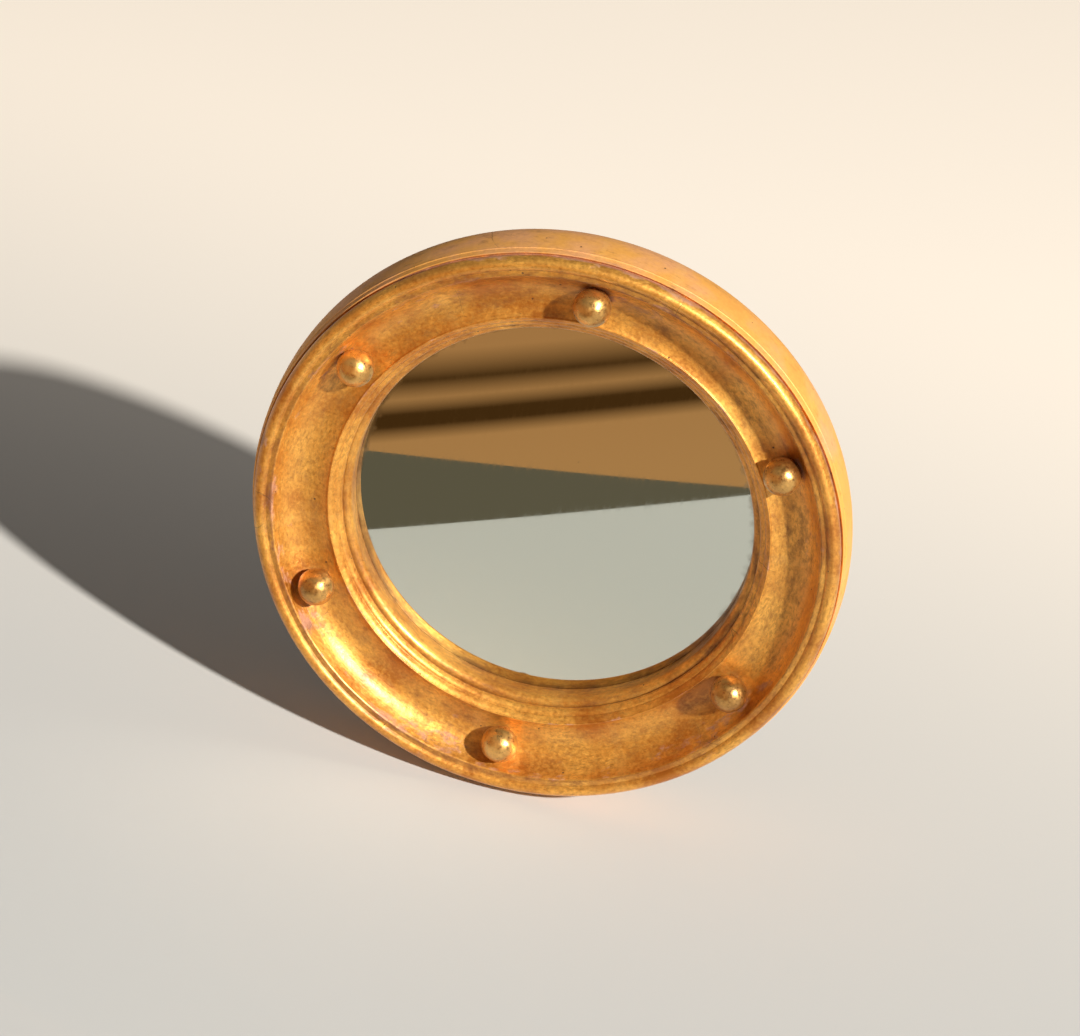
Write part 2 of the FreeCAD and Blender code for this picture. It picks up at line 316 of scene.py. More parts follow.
def softened(points, reach):
    # each sharp corner becomes a small curve of five points
    out = [points[0]]
    for before, here, after in zip(points, points[1:], points[2:]):
        a = Vector(before[:2]) - Vector(here[:2])
        b = Vector(after[:2]) - Vector(here[:2])
        if a.angle(-b) < math.radians(14):
            out.append(here)
            continue
        ends = [Vector(here[:2]) + side.normalized() * min(reach, side.length * 0.45) for side in (a, b)]
        for t in (0.0, 0.25, 0.5, 0.75, 1.0):
            spot = ends[0] * (1 - t) ** 2 + Vector(here[:2]) * (2 * t * (1 - t)) + ends[1] * t ** 2
            out.append((spot.x, spot.y) + tuple(here[2:]))
    out.append(points[-1])
    return out


def sectionMesh(name, stops, closed):
    # stops: radius, depth, curve, step, wear, grime with painted shade, bare wood
    points = [tuple(stops[0][:2]) + tuple(stops[0][4:])]
    for before, here in zip(stops, stops[1:]):
        way = arcTo(before[:2], here[:2], here[2], here[3])
        for k, spot in enumerate(way, 1):
            t = k / len(way)
            mix = [p + (q - p) * t for p, q in zip(before[4:6], here[4:6])]
            points.append(tuple(spot) + tuple(mix) + (here[6],))
    points = softened(points, 0.35)
    if closed:
        points[-1] = points[0][:2] + points[-1][2:]
    mesh = bpy.data.meshes.new(name)
    mesh.from_pydata([(p[0] * mm, (p[1] - frameDepth) * mm, 0.0) for p in points],
                     [(k, k + 1) for k in range(len(points) - 1)], [])
    run = [0.0]
    for before, here in zip(points, points[1:]):
        run.append(run[-1] + math.dist(before[:2], here[:2]) * mm)
    for label, values in (("run", run), ("wear", [p[2] for p in points]), ("shadeAndGrime", [p[3] for p in points]),
                          ("bare", [p[4] for p in points])):
        mesh.attributes.new(label, "FLOAT", "POINT").data.foreach_set("value", values)
    return mesh


def newTree(name, inputs, output):
    tree = bpy.data.node_groups.new(name, "GeometryNodeTree")
    tree.is_modifier = True
    for label, kind in inputs:
        tree.interface.new_socket(name=label, in_out="INPUT", socket_type="NodeSocket" + kind)
    tree.interface.new_socket(name=output, in_out="OUTPUT", socket_type="NodeSocketGeometry")
    return tree, addNode(tree, "NodeGroupInput").outputs


def stored(tree, name):
    read = addNode(tree, "GeometryNodeInputNamedAttribute", {"Name": name}, data_type="FLOAT")
    return read.outputs["Attribute"]


def keep(tree, piece, name, value, **settings):
    # stores a value on the mesh under a name
    feeds = {"Geometry": piece, "Name": name, "Value": value}
    return addNode(tree, "GeometryNodeStoreNamedAttribute", feeds, **settings).outputs[0]


def onCircle(tree, angle, circle, place):
    # a spot at an angle round the mirror's axis, with 0 at the top
    x = calc(tree, "MULTIPLY", calc(tree, "SINE", angle), circle)
    z = calc(tree, "MULTIPLY", calc(tree, "COSINE", angle), circle)
    return addNode(tree, "ShaderNodeCombineXYZ", {0: x, 1: place, 2: z}).outputs[0]


def raised(tree, piece, lift):
    normal = addNode(tree, "GeometryNodeInputNormal").outputs[0]
    away = addNode(tree, "ShaderNodeVectorMath", {0: normal, "Scale": lift}, operation="SCALE").outputs[0]
    return addNode(tree, "GeometryNodeSetPosition", {"Geometry": piece, "Offset": away}).outputs[0]


def finished(tree, piece, material, **chosen):
    feeds = {"Geometry": piece, "Material": material, **chosen}
    return addNode(tree, "GeometryNodeSetMaterial", feeds).outputs[0]


def makeTurnedTree():
    # turns a section about the mirror's axis and gives it a hand-finished surface
    tree, given = newTree("turnedPiece", (
        ("Section", "Geometry"), ("Segments", "Int"), ("Points", "Int"), ("Girth", "Float"),
        ("Wave Height", "Float"), ("Wave Length", "Float"), ("Ripple Height", "Float"),
        ("Ripple Length", "Float"), ("Chip Depth", "Float"), ("Chip Length", "Float"),
        ("Ball Count", "Int"), ("Ball Circle", "Float"), ("Ball Place", "Float"),
        ("Fillet Start", "Float"), ("Fillet Reach", "Float"), ("Fillet Height", "Float"),
        ("Seed", "Float"), ("Finish", "Material"), ("Back", "Material")), "Piece")

    columns = calc(tree, "ADD", given["Segments"], 1.0)
    grid = addNode(tree, "GeometryNodeMeshGrid", {"Size X": 1.0, "Size Y": 1.0, "Vertices X": columns,
                                                  "Vertices Y": given["Points"]})
    spot = addNode(tree, "GeometryNodeInputPosition").outputs[0]
    flat = addNode(tree, "ShaderNodeSeparateXYZ", {0: spot}).outputs
    last = calc(tree, "SUBTRACT", given["Points"], 1.0)
    along = calc(tree, "ADD", flat["Y"], 0.5)
    row = calc(tree, "MULTIPLY_ADD", along, last, 0.5)
    row = calc(tree, "FLOOR", row)

    piece = grid.outputs["Mesh"]
    sampled = {}
    for label in ("run", "wear", "shadeAndGrime", "bare"):
        feeds = {"Geometry": given["Section"], "Value": stored(tree, label), "Index": row}
        sampled[label] = addNode(tree, "GeometryNodeSampleIndex", feeds, data_type="FLOAT").outputs[0]
        piece = keep(tree, piece, label, sampled[label], data_type="FLOAT")
    across = addNode(tree, "ShaderNodeSeparateXYZ", {0: grid.outputs["UV Map"]}).outputs["X"]
    around = calc(tree, "MULTIPLY", across, given["Girth"])
    leafPlace = addNode(tree, "ShaderNodeCombineXYZ", {0: around, 1: sampled["run"]}).outputs[0]
    piece = keep(tree, piece, "leafMap", leafPlace, data_type="FLOAT2", domain="CORNER")

    # the section's point, carried round: radius along X and place along Y
    feeds = {"Geometry": given["Section"], "Value": spot, "Index": row}
    point = addNode(tree, "GeometryNodeSampleIndex", feeds, data_type="FLOAT_VECTOR").outputs[0]
    point = addNode(tree, "ShaderNodeSeparateXYZ", {0: point}).outputs
    turn = calc(tree, "MULTIPLY_ADD", flat["X"], -2 * math.pi, -math.pi)
    place = onCircle(tree, turn, point["X"], point["Y"])
    piece = addNode(tree, "GeometryNodeSetPosition", {"Geometry": piece, "Position": place}).outputs[0]
    piece = addNode(tree, "GeometryNodeMergeByDistance", {"Geometry": piece, "Distance": 1e-6}).outputs[0]

    def seededNoise(length, detail, roughness):
        scale = calc(tree, "DIVIDE", 1.0, given[length])
        feeds = {"Vector": spot, "W": given["Seed"], "Scale": scale, "Detail": detail,
                 "Roughness": roughness}
        return addNode(tree, "ShaderNodeTexNoise", feeds, noise_dimensions="4D").outputs[0]

    # waves from the lathe and the gesso, at two sizes
    lift = 0.0
    for part in ("Wave", "Ripple"):
        noise = calc(tree, "SUBTRACT", seededNoise(part + " Length", 2.0, 0.5), 0.5)
        lift = calc(tree, "MULTIPLY_ADD", noise, given[part + " Height"], lift)
    # flakes off the worn edges
    noise = seededNoise("Chip Length", 3.0, 0.6)
    worn = calc(tree, "MINIMUM", stored(tree, "wear"), 1.0)
    edge = calc(tree, "MULTIPLY_ADD", worn, -0.16, 0.80)
    gone = calc(tree, "SUBTRACT", noise, edge)
    gone = remap(tree, gone, 0.0, 0.03)
    gone = calc(tree, "MULTIPLY", gone, worn)
    gone = calc(tree, "MULTIPLY", gone, given["Chip Depth"])
    lift = calc(tree, "SUBTRACT", lift, gone)
    # gesso drawn up round the foot of each ball
    index = addNode(tree, "GeometryNodeInputIndex").outputs[0]
    step = calc(tree, "DIVIDE", 2 * math.pi, given["Ball Count"])
    angle = calc(tree, "MULTIPLY", index, step)
    centre = onCircle(tree, angle, given["Ball Circle"], given["Ball Place"])
    feeds = {"Count": given["Ball Count"], "Position": centre}
    balls = addNode(tree, "GeometryNodePoints", feeds).outputs[0]
    near = addNode(tree, "GeometryNodeProximity", {"Geometry": balls}, target_element="POINTS")
    near = calc(tree, "SUBTRACT", near.outputs["Distance"], given["Fillet Start"])
    near = remap(tree, near, 0.0, given["Fillet Reach"], 1.0, 0.0)
    piece = keep(tree, piece, "footing", near, data_type="FLOAT")
    mound = calc(tree, "POWER", near, 2.0)
    lift = calc(tree, "MULTIPLY_ADD", mound, given["Fillet Height"], lift)
    piece = raised(tree, piece, lift)

    piece = addNode(tree, "GeometryNodeSetShadeSmooth", {"Geometry": piece}).outputs[0]
    piece = addNode(tree, "GeometryNodeRealizeInstances", {"Geometry": piece}).outputs[0]
    piece = finished(tree, piece, given["Finish"])
    bare = calc(tree, "GREATER_THAN", stored(tree, "bare"), 0.6)
    piece = finished(tree, piece, given["Back"], Selection=bare)
    addNode(tree, "NodeGroupOutput", {"Piece": piece})
    return tree


def makeSetRoundTree():
    # sets copies of one piece round a circle
    tree, given = newTree("setRound", (
        ("Pattern", "Geometry"), ("Count", "Int"), ("Circle", "Float"), ("Place", "Float"),
        ("First Turn", "Float"), ("Tilt", "Float"), ("Size Spread", "Float"), ("Relief Height", "Float"),
        ("Relief Length", "Float"), ("Seed", "Int"), ("Finish", "Material")), "Pieces")

    index = addNode(tree, "GeometryNodeInputIndex").outputs[0]
    step = calc(tree, "DIVIDE", 2 * math.pi, given["Count"])
    angle = calc(tree, "MULTIPLY_ADD", index, step, given["First Turn"])
    spot = onCircle(tree, angle, given["Circle"], given["Place"])
    points = addNode(tree, "GeometryNodePoints", {"Count": given["Count"], "Position": spot}).outputs[0]

    # each copy is turned to the circle, tilted a little and drawn out of round a little
    def drawn(least, most):
        feeds = {"Min": least, "Max": most, "Seed": given["Seed"]}
        return addNode(tree, "FunctionNodeRandomValue", feeds, data_type="FLOAT_VECTOR").outputs[0]

    lean = drawn(calc(tree, "MULTIPLY", given["Tilt"], -1.0), given["Tilt"])
    lean = addNode(tree, "ShaderNodeVectorMath", {0: lean, 1: (1.0, 0.0, 1.0)}, operation="MULTIPLY")
    facing = addNode(tree, "ShaderNodeCombineXYZ", {1: angle}).outputs[0]
    turn = addNode(tree, "ShaderNodeVectorMath", {0: facing, 1: lean.outputs[0]}, operation="ADD").outputs[0]
    smallest = calc(tree, "SUBTRACT", 1.0, given["Size Spread"])
    size = drawn(smallest, calc(tree, "ADD", 1.0, given["Size Spread"]))
    copies = addNode(tree, "GeometryNodeInstanceOnPoints", {
        "Points": points, "Instance": given["Pattern"], "Rotation": turn, "Scale": size}).outputs[0]
    pieces = addNode(tree, "GeometryNodeRealizeInstances", {"Geometry": copies}).outputs[0]

    place = addNode(tree, "GeometryNodeInputPosition").outputs[0]
    scale = calc(tree, "DIVIDE", 1.0, given["Relief Length"])
    noise = addNode(tree, "ShaderNodeTexNoise", {"Vector": place, "Scale": scale, "Detail": 2.0}).outputs[0]
    lift = calc(tree, "SUBTRACT", noise, 0.5)
    lift = calc(tree, "MULTIPLY", lift, given["Relief Height"])
    pieces = raised(tree, pieces, lift)
    pieces = addNode(tree, "GeometryNodeSetShadeSmooth", {"Geometry": pieces}).outputs[0]
    pieces = finished(tree, pieces, given["Finish"])
    addNode(tree, "NodeGroupOutput", {"Pieces": pieces})
    return tree


def grow(name, mesh, tree, settings):
    # runs a tree on a mesh and keeps the result as a plain mesh
    source = newObject(name + "Source", mesh)
    work = source.modifiers.new("grow", "NODES")
    work.node_group = tree
    for item in tree.interface.items_tree:
        if item.in_out == "INPUT" and item.name in settings:
            work[item.identifier] = settings[item.name]
    return settle(source, name)


def settle(source, name):
    depsgraph = bpy.context.evaluated_depsgraph_get()
    plain = bpy.data.meshes.new_from_object(source.evaluated_get(depsgraph), preserve_all_data_layers=True,
                                            depsgraph=depsgraph)
    bpy.data.objects.remove(source)
    plain.name = name
    return newObject(name, plain)


turnedTree = makeTurnedTree()
setRoundTree = makeSetRoundTree()
print("trees for the turned pieces and for the sets of pieces")


def makeGilding(name, look):
    # Water gilding: beaten gold leaf burnished over red clay and gesso. Warm satin metal, rubbed to the clay
    # on the edges, with brown grime and painted shade darker in the hollows, with leaf laps, specks, hair
    # cracks and fine turning lines.
    material, tree, shader = newMaterial(name)
    place = addNode(tree, "ShaderNodeTexCoord").outputs["Object"]
    leafMap = addNode(tree, "ShaderNodeUVMap", uv_map="leafMap").outputs[0]

    def baked(label):
        return addNode(tree, "ShaderNodeAttribute", attribute_name=label).outputs["Fac"]

    footing = baked("footing")
    matt = remap(tree, baked("bare"), 0.0, 0.5)

    # clouds of thick and thin leaf, and a mottle
    clouds = cloudy(tree, place, look["cloudSize"], 5.0)
    mottle = cloudy(tree, place, look["mottleSize"], 6.0, 0.65)
    tone = calc(tree, "MULTIPLY_ADD", mottle, 0.55, clouds)
    tone = remap(tree, tone, 0.58, 0.98)
    leaf = tinted(tree, tone, colour(look["leafDeep"]), colour(look["leafLight"]))

    # fine rubbing through the leaf, drawn out along the turning
    scuff = cloudy(tree, scaled(tree, leafMap, (0.4, 1.0, 1.0)), look["scuffSize"], 5.0, 0.7)
    scuff = calc(tree, "MULTIPLY_ADD", clouds, 0.6, scuff)
    scuff = remap(tree, scuff, 0.84, 0.98, 0.0, look["scuffShow"])
    leaf = tinted(tree, scuff, leaf, colour(look["scuffBrown"]))
    side = calc(tree, "MULTIPLY", matt, 0.7)
    sideTone = remap(tree, clouds, 0.44, 0.62)
    sideTint = tinted(tree, sideTone, colour(look["sideLeaf"]), colour(look["sideRubbed"]))
    leaf = tinted(tree, side, leaf, sideTint)

    # laps where one leaf covers the next by a few mm, with a wavering edge
    drift = cloudy(tree, leafMap, look["driftSize"], 3.0)
    around = addNode(tree, "ShaderNodeSeparateXYZ", {0: leafMap}).outputs["X"]
    step = calc(tree, "MULTIPLY", around, 1000 / look["leafSize"])
    step = calc(tree, "MULTIPLY_ADD", drift, 0.07, step)
    step = calc(tree, "FRACT", step)
    lap = remap(tree, step, 0.06, 0.068, 1.0, 0.0)
    lapTone = calc(tree, "MULTIPLY", lap, look["lapShow"])
    leaf = tinted(tree, lapTone, leaf, colour(look["leafDouble"]))

    # red clay where the leaf is rubbed, in patches drawn out along the turning
    stretched = scaled(tree, leafMap, (0.45, 1.0, 1.0))
    rubbed = cloudy(tree, stretched, look["rubSize"], 9.0, 0.68)
    patches = cloudy(tree, place, look["patchSize"], 2.0)
    rub = calc(tree, "MULTIPLY_ADD", baked("wear"), look["edgeRub"], rubbed)
    rub = calc(tree, "MULTIPLY_ADD", patches, 0.5, rub)
    rub = calc(tree, "MULTIPLY_ADD", footing, 0.22, rub)
    clay = remap(tree, rub, look["clayFrom"], look["clayFrom"] + 0.10)
    clay = calc(tree, "MULTIPLY", clay, look["clayShow"])
    clayTint = tinted(tree, mottle, colour(look["clayRed"]), colour(look["clayPale"]))

    # brown grime in streaks and patches, with painted shade in the hollows, in the joints and round the foot
    # of each ball
    dirtNoise = cloudy(tree, stretched, look["dirtSize"], 8.0, 0.7)
    shadeAndDirt = calc(tree, "MULTIPLY_ADD", footing, 0.5, baked("shadeAndGrime"))
    shadeAndDirt = calc(tree, "MULTIPLY_ADD", shadeAndDirt, 0.42, dirtNoise)
    shadeAndDirt = calc(tree, "MULTIPLY_ADD", patches, 0.3, shadeAndDirt)
    shadeAndDirt = remap(tree, shadeAndDirt, 0.71, 1.0, 0.0, look["shadeAndGrimeShow"])

    # dark specks, and hair cracks across the turning, which come only in some places
    speck = scattered(tree, place, look["speckCell"], 0.55, look["speckSize"], 0.85)
    across, along = look["crackCell"]
    crackMap = scaled(tree, leafMap, (1000 / across, 1000 / along, 1.0))
    crackMap = bent(tree, crackMap, 0.06, leafMap, 6, 4.0)
    feeds = {"Vector": crackMap, "Scale": 1.0}
    webs = addNode(tree, "ShaderNodeTexVoronoi", feeds, feature="DISTANCE_TO_EDGE")
    crack = remap(tree, webs.outputs["Distance"], 0.001, 0.005, 0.55, 0.0)
    some = remap(tree, patches, 0.60, 0.64)
    crack = calc(tree, "MULTIPLY", crack, some)

    tint = tinted(tree, clay, leaf, clayTint)
    tint = tinted(tree, shadeAndDirt, tint, colour(look["shadeAndGrimeBrown"]))
    marks = calc(tree, "MAXIMUM", speck, crack)
    tint = tinted(tree, marks, tint, colour(look["speckBrown"]))

    dull = calc(tree, "MAXIMUM", clay, shadeAndDirt)
    dull = calc(tree, "MAXIMUM", dull, marks)
    leafMetal = remap(tree, matt, 0.0, 1.0, look["metal"], look["metal"] * 0.3)
    metal = remap(tree, dull, 0.0, 1.0, leafMetal, 0.08)
    satin = remap(tree, mottle, 0.3, 0.7, look["smooth"], look["rough"])
    satin = calc(tree, "MULTIPLY_ADD", matt, 0.12, satin)
    satin = addNode(tree, "ShaderNodeMix", {0: dull, 2: satin, 3: 0.62}, data_type="FLOAT").outputs[0]

    # relief: brushed gesso, turning lines, leaf grain, then laps, cracks and clay
    gesso = cloudy(tree, place, look["gessoSize"], 4.0)
    grain = cloudy(tree, place, look["grainSize"], 3.0)
    lineMap = scaled(tree, leafMap, (6.0, 1000 / look["lineGap"], 1.0))
    lines = addNode(tree, "ShaderNodeTexNoise", {"Vector": lineMap, "Scale": 1.0, "Detail": 3.0}).outputs[0]
    normal = embossed(tree, (
        (gesso, 0.55, 0.30), (lines, look["lineShow"], 0.10), (grain, 0.5, 0.05),
        (lap, 0.25, 0.04), (marks, 0.5, -0.12), (clay, 0.5, -0.10)))
    # thin shellac over the leaf, but not on the matt side
    coat = remap(tree, matt, 0.0, 1.0, look["shellac"], 0.0)
    clean = calc(tree, "SUBTRACT", 1.0, dull)
    coat = calc(tree, "MULTIPLY", coat, clean)
    shader.inputs["Coat Roughness"].default_value = look["shellacRough"]
    feedShader(tree, shader, {
        "Base Color": tint, "Metallic": metal, "Roughness": satin, "Normal": normal,
        "Coat Weight": coat, "Coat Normal": normal})
    return material


gildedLook = {
    "leafDeep": "#BE731E", "leafLight": "#FFC056", "leafDouble": "#FFD078", "lapShow": 0.09,
    "scuffShow": 0.5, "scuffBrown": "#9A5F1D", "sideLeaf": "#FFB95E", "sideRubbed": "#F2AE7E",
    "clayRed": "#AB674E", "clayPale": "#C99F8B", "clayFrom": 0.955, "clayShow": 0.8, "edgeRub": 0.18,
    # the grime brown is also painted shade, in the hollows and round the balls
    "shadeAndGrimeBrown": "#6A340E", "shadeAndGrimeShow": 0.78, "speckBrown": "#3A2210", "speckSize": 0.55,
    "smooth": 0.36, "rough": 0.60, "metal": 0.74, "lineShow": 0.35,
    "shellac": 0.7, "shellacRough": 0.34,
    # sizes in mm of what the finish is made of
    "leafSize": 75, "driftSize": 9, "cloudSize": 22, "mottleSize": 1.6, "scuffSize": 1.2,
    "rubSize": 7, "patchSize": 34, "dirtSize": 4, "speckCell": 5, "crackCell": (26, 60),
    "gessoSize": 3, "grainSize": 0.5, "lineGap": 0.7,
}
slipLook = dict(
    gildedLook, smooth=0.34, rough=0.52, lineShow=0.6, scuffShow=0.2, leafLight="#FFC058",
    clayFrom=0.98, metal=0.8)
ballLook = dict(
    gildedLook, leafDeep="#9A6524", leafLight="#F5C06A", smooth=0.20, rough=0.50, metal=0.88,
    lineShow=0.0, clayFrom=0.93, shadeAndGrimeShow=0.7)
ringGilding = makeGilding("waterGilding", gildedLook)
slipGilding = makeGilding("burnishedSlipGilding", slipLook)
ballGilding = makeGilding("ballGilding", ballLook)

silverLook = {
    "clear": "#D8DCD2", "gone": "#6E675A", "freckleCell": 6, "freckleSize": 0.3,
    "bloomSize": 5, "bloomReach": 0.009, "bloomFrom": 0.0885, "bloomTo": 0.0925,
    "wipeSize": 1.2, "wipeTurn": 0.6, "wipeStretch": 0.12,
}


def makeSilvering(look):
    # Old convex plate glass silvered behind: a clear mirror, a little warm and grey, with dust, fine wipes
    # and freckles where the silver has gone, thicker at the edge.
    material, tree, shader = newMaterial("silveredGlass")
    place = addNode(tree, "ShaderNodeTexCoord").outputs["Object"]
    split = addNode(tree, "ShaderNodeSeparateXYZ", {0: place}).outputs
    flat = addNode(tree, "ShaderNodeCombineXYZ", {0: split["X"], 2: split["Z"]}).outputs[0]
    radius = addNode(tree, "ShaderNodeVectorMath", {0: flat}, operation="LENGTH").outputs["Value"]
    freckle = scattered(tree, place, look["freckleCell"], 0.72, look["freckleSize"], 0.5)
    # grey bloom that creeps in from the edge in tongues
    cloud = cloudy(tree, place, look["bloomSize"], 6.0)
    creep = calc(tree, "MULTIPLY_ADD", cloud, look["bloomReach"], radius)
    bloom = remap(tree, creep, look["bloomFrom"], look["bloomTo"], 0.0, 0.55)
    gone = calc(tree, "MAXIMUM", freckle, bloom)
    tint = tinted(tree, gone, colour(look["clear"]), colour(look["gone"]))
    feeds = {"Vector": place, "Rotation": (0, look["wipeTurn"], 0), "Scale": (1.0, 1.0, look["wipeStretch"])}
    wipeMap = addNode(tree, "ShaderNodeMapping", feeds).outputs[0]
    wipes = cloudy(tree, wipeMap, look["wipeSize"], 6.0)
    haze = remap(tree, wipes, 0.35, 0.8, 0.012, 0.05)
    haze = calc(tree, "MULTIPLY_ADD", gone, 0.35, haze)
    feedShader(tree, shader, {"Base Color": tint, "Roughness": haze})
    shader.inputs["Metallic"].default_value = 1.0
    return material


def makeWood(name, look):
    # Turned or sawn softwood: straight grain of early and late wood, with pores, stain and hand dirt.
    material, tree, shader = newMaterial(name)
    place = addNode(tree, "ShaderNodeTexCoord").outputs["Object"]
    along = scaled(tree, bent(tree, place, 0.008, place, 60, 2.0), (0.06, 1.0, 1.0))
    feeds = {"Vector": along, "Scale": 1000 / look["ringWidth"] / 6.28, "Distortion": 0.5,
             "Detail": 3.0, "Detail Scale": 1.5}
    rings = addNode(tree, "ShaderNodeTexWave", feeds, bands_direction="Z", wave_profile="SIN").outputs["Fac"]
    fibres = cloudy(tree, along, 0.8, 5.0)
    stain = cloudy(tree, place, 30, 5.0)
    tone = calc(tree, "MULTIPLY_ADD", fibres, 1.1, rings)
    tone = remap(tree, tone, 0.0, 1.9)
    tint = tinted(tree, tone, colour(look["early"]), colour(look["late"]))
    soiled = remap(tree, stain, 0.42, 0.75, 0.0, 0.7)
    tint = tinted(tree, soiled, tint, colour(look["stain"]))
    rough = remap(tree, fibres, 0.3, 0.7, 0.62, 0.85)
    normal = embossed(tree, [(tone, 0.3, 0.05)])
    feedShader(tree, shader, {"Base Color": tint, "Roughness": rough, "Normal": normal})
    return material


def makeOldMetal(name, look):
    # Brass or steel that has hung behind a picture for years: worn bright on the high spots, brown between.
    material, tree, shader = newMaterial(name)
    place = addNode(tree, "ShaderNodeTexCoord").outputs["Object"]
    patches = cloudy(tree, place, 3, 7.0, 0.65)
    scratches = cloudy(tree, scaled(tree, place, (1.0, 1.0, 0.08)), 0.35, 4.0)
    tarnish = remap(tree, patches, 0.40, 0.68)
    tint = tinted(tree, tarnish, colour(look["bright"]), colour(look["tarnish"]))
    rough = calc(tree, "MULTIPLY_ADD", tarnish, 0.25, look["smooth"])
    rough = calc(tree, "MULTIPLY_ADD", scratches, 0.16, rough)
    normal = embossed(tree, [(scratches, 0.3, 0.04), (patches, 0.4, 0.06)])
    feedShader(tree, shader, {"Base Color": tint, "Roughness": rough, "Normal": normal})
    shader.inputs["Metallic"].default_value = 1.0
    return material


silvering = makeSilvering(silverLook)
tonedPine = makeWood("tonedPine", {
    "early": "#A87B4C", "late": "#7A5230", "stain": "#5B3B22", "ringWidth": 3.2})
glueBlockPine = makeWood("glueBlockPine", {
    "early": "#C9A06A", "late": "#A87744", "stain": "#7E5A36", "ringWidth": 2.0})
stainedBoard = makeWood("stainedThinBoard", {
    "early": "#7B5A3C", "late": "#5E422A", "stain": "#3F2C1D", "ringWidth": 1.2})
oldBrass = makeOldMetal("agedBrass", {"bright": "#D9B56A", "tarnish": "#7A5A2E", "smooth": 0.24})
oldSteel = makeOldMetal("rustedSteel", {"bright": "#9A9590", "tarnish": "#4A3A30", "smooth": 0.36})
print("finishes")

# the turned ring

# lengths in mm that a turned piece has unless it says otherwise
plainTurning = {
    "Wave Height": 0.0, "Wave Length": 1000.0, "Ripple Height": 0.0, "Ripple Length": 1000.0,
    "Chip Depth": 0.0, "Chip Length": 1000.0, "Ball Circle": 1000.0, "Ball Place": 0.0,
    "Fillet Start": 0.0, "Fillet Reach": 1.0, "Fillet Height": 0.0,
}


def turnPiece(name, section, piece, finish, back):
    lengths = dict(plainTurning, **piece["lengths"])
    feeds = {label: length * mm for label, length in lengths.items()}
    feeds.update({
        "Segments": piece["segments"], "Points": len(section.vertices), "Ball Count": piece["balls"],
        "Seed": piece["seed"], "Finish": finish, "Back": back})
    return grow(name, section, turnedTree, feeds)


ballCircle, ballDepth, ballCount = 105.6, 5.48, 6
ringPiece = {
    "segments": 600, "balls": ballCount, "seed": 3.0, "lengths": {
        "Girth": 780.0, "Wave Height": 0.28, "Wave Length": 70.0, "Ripple Height": 0.10,
        "Ripple Length": 9.0, "Chip Depth": 0.35, "Chip Length": 4.5, "Ball Circle": ballCircle,
        "Ball Place": ballDepth - frameDepth, "Fillet Start": 7.4, "Fillet Reach": 3.4,
        "Fillet Height": 0.9},
    "pocketWidth": 39.0, "pocketFoot": 90.0, "pocketTop": 113.0, "pocketDepth": 6.0, "pocketOver": 4.0,
}
lipShoulder, lipNose = (94.5, 11.9), (92.4, 14.6)
ringStops = [
    # radius, depth, curve, step, wear, grime with painted shade in the hollows and joints, bare
    (121.02, 41.2, 0, 1.0, 0.6, 0.2, 0.5),
    (128.2, 21.0, 32.0, 2.2, 0.0, 0.0, 0.5),
    (127.15, 9.0, 72.0, 1.8, 0.2, 0.0, 0.5),
    (127.3, 8.6, 0, 0.3, 0.9, 0.0, 0.5),
    (126.9, 8.3, 0, 0.3, 0.4, 0.1, 0.5),
    (126.25, 5.3, 0, 0.8, 0.5, 0.0, 0.5),
    (124.9, 6.4, 0, 0.7, 1.9, 0.1, 0),
    (125.41, 4.16, 0, 0.8, 1.6, 0.0, 0),
    (124.7, 1.5, 3.1, 0.42, 0.6, 0.0, 0),
    (122.5, 0.0, 3.1, 0.42, 0.5, 0.0, 0),
    (119.787, 1.6, 3.1, 0.42, 0.4, 0.4, 0),
    (117.6, 1.6, 0, 0.7, 0.7, 0.6, 0),
    (117.0, 2.2, 0, 0.5, 1.0, 0.1, 0),
    (102.0, 13.4, -15.64, 0.85, 0.05, 0.32, 0),
    (95.5, 11.9, -14.83, 0.9, 0.1, 0.15, 0),
    (95.0, 11.4, 0.5, 0.25, 0.9, 0.0, 0),
    (94.5, 11.9, 0.5, 0.25, 0.5, 0.0, 0),
    lipNose + (swellRadius(lipShoulder, lipNose, 0.35), 0.42, 0.2, 0.2, 0),
    (90.0, 17.2, swellRadius(lipNose, (90.0, 17.2), 0.55), 0.42, 0.1, 0.1, 0),
    (90.0, 18.6, 0, 1.5, 0.0, 1.0, 0),
    (92.5, 18.6, 0, 3.0, 0.0, 1.0, 1),
    (92.5, 33.5, 0, 15.0, 0.0, 0.3, 1),
    (98.0, 33.5, 0, 6.0, 0.0, 0.3, 1),
    (98.0, 42.0, 0, 9.0, 0.0, 0.3, 1),
    (120.22, 42.0, 0, 8.0, 0.0, 0.3, 1),
    (121.02, 41.2, 0, 1.5, 0.0, 0.3, 1),
]


